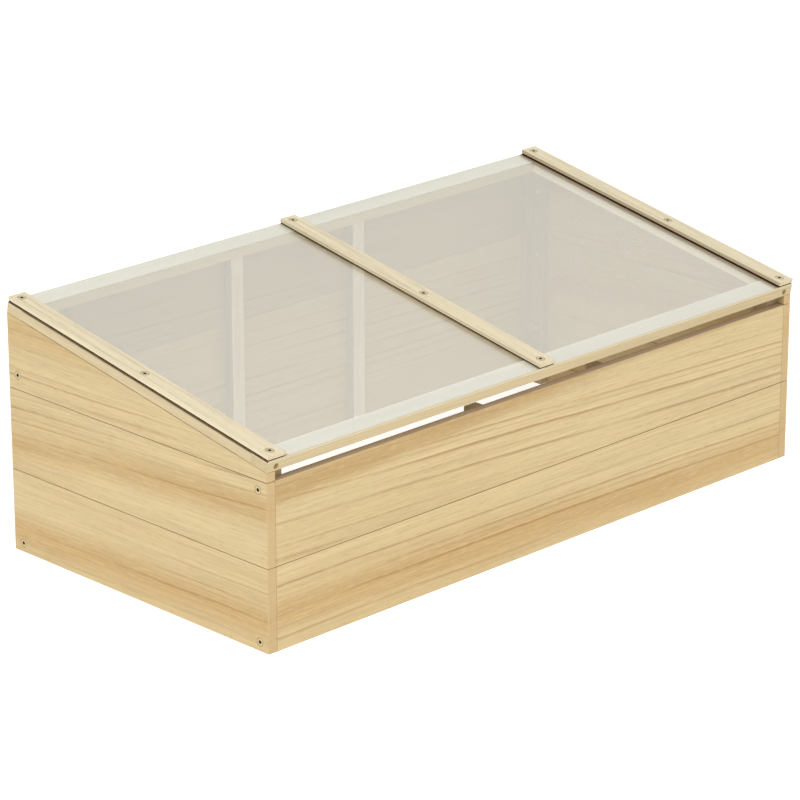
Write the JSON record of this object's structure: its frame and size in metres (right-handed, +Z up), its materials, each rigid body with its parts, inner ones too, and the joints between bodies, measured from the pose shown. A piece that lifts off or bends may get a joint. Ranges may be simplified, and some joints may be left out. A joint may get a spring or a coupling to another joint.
{
  "type": "cold frame",
  "caption": "Low timber cold frame with boarded walls, no floor, an airing slot at the front and a sloping lid, glazed with clear sheets and hinged at the rear.",
  "frame": {"origin": "middle of the overall footprint, hinges included, on the ground under the walls", "axes": "+X along the width to the right as seen from the front, +Y from the front to the rear, +Z up"},
  "size_m": [1, 0.5096, 0.3567],
  "materials": {
    "board_timber": "planed softwood boards with a clear finish",
    "batten_timber": "planed softwood battens",
    "lid_timber": "paler planed softwood rails and strips",
    "glazing_sheet": "glossy, slightly milky clear sheet",
    "sealing_tape": "dark brown foam rubber sealing tape",
    "screw_steel": "yellow-passivated steel screws and nails",
    "hinge_steel": "zinc-plated steel"
  },
  "bodies": {
    "box": {"left_side_board_lower": "board_timber", "left_side_board_middle": "board_timber", "left_side_board_top": "board_timber", "right_side_board_lower": "board_timber", "right_side_board_middle": "board_timber", "right_side_board_top": "board_timber", "front_board_lower": "board_timber", "front_board_upper": "board_timber", "back_board_lower": "board_timber", "back_board_middle": "board_timber", "back_board_top": "board_timber", "front_end_batten_left": "batten_timber", "front_end_batten_right": "batten_timber", "front_batten_left": "batten_timber", "front_batten_right": "batten_timber", "back_end_batten_left": "batten_timber", "back_end_batten_right": "batten_timber", "back_batten_left": "batten_timber", "back_batten_right": "batten_timber", "left_side_batten_front": "batten_timber", "left_side_batten_rear": "batten_timber", "right_side_batten_front": "batten_timber", "right_side_batten_rear": "batten_timber", "left_wall_screws": "screw_steel", "right_wall_screws": "screw_steel", "front_wall_nails": "screw_steel", "back_wall_nails": "screw_steel", "left_wall_nails": "screw_steel", "right_wall_nails": "screw_steel", "hinge_box_leaf_left": "hinge_steel", "hinge_box_leaf_right": "hinge_steel", "hinge_pin_left": "hinge_steel", "hinge_pin_right": "hinge_steel", "hinge_box_screws": "screw_steel"},
    "lid": {"hinge_lid_leaf_left": "hinge_steel", "hinge_lid_leaf_right": "hinge_steel", "hinge_lid_screws": "screw_steel", "lid_front_rail": "lid_timber", "lid_rear_rail": "lid_timber", "lid_left_rail": "lid_timber", "lid_right_rail": "lid_timber", "lid_frame_screws": "screw_steel", "cover_sheet_left": "glazing_sheet", "cover_sheet_right": "glazing_sheet", "left_sealing_tape": "sealing_tape", "centre_sealing_tape": "sealing_tape", "right_sealing_tape": "sealing_tape", "left_strip": "lid_timber", "centre_strip": "lid_timber", "right_strip": "lid_timber", "left_strip_screws": "screw_steel", "centre_strip_screws": "screw_steel", "right_strip_screws": "screw_steel", "centre_screw_washer": "screw_steel", "centre_screw_nut": "screw_steel"}
  },
  "joints": [
    {"name": "lid_hinge", "type": "hinge", "parent": "box", "child": "lid", "pos_m": [0, 0.25225, 0.3338], "axis": [-1, 0, 0], "range_deg": [0, 105]}
  ]
}
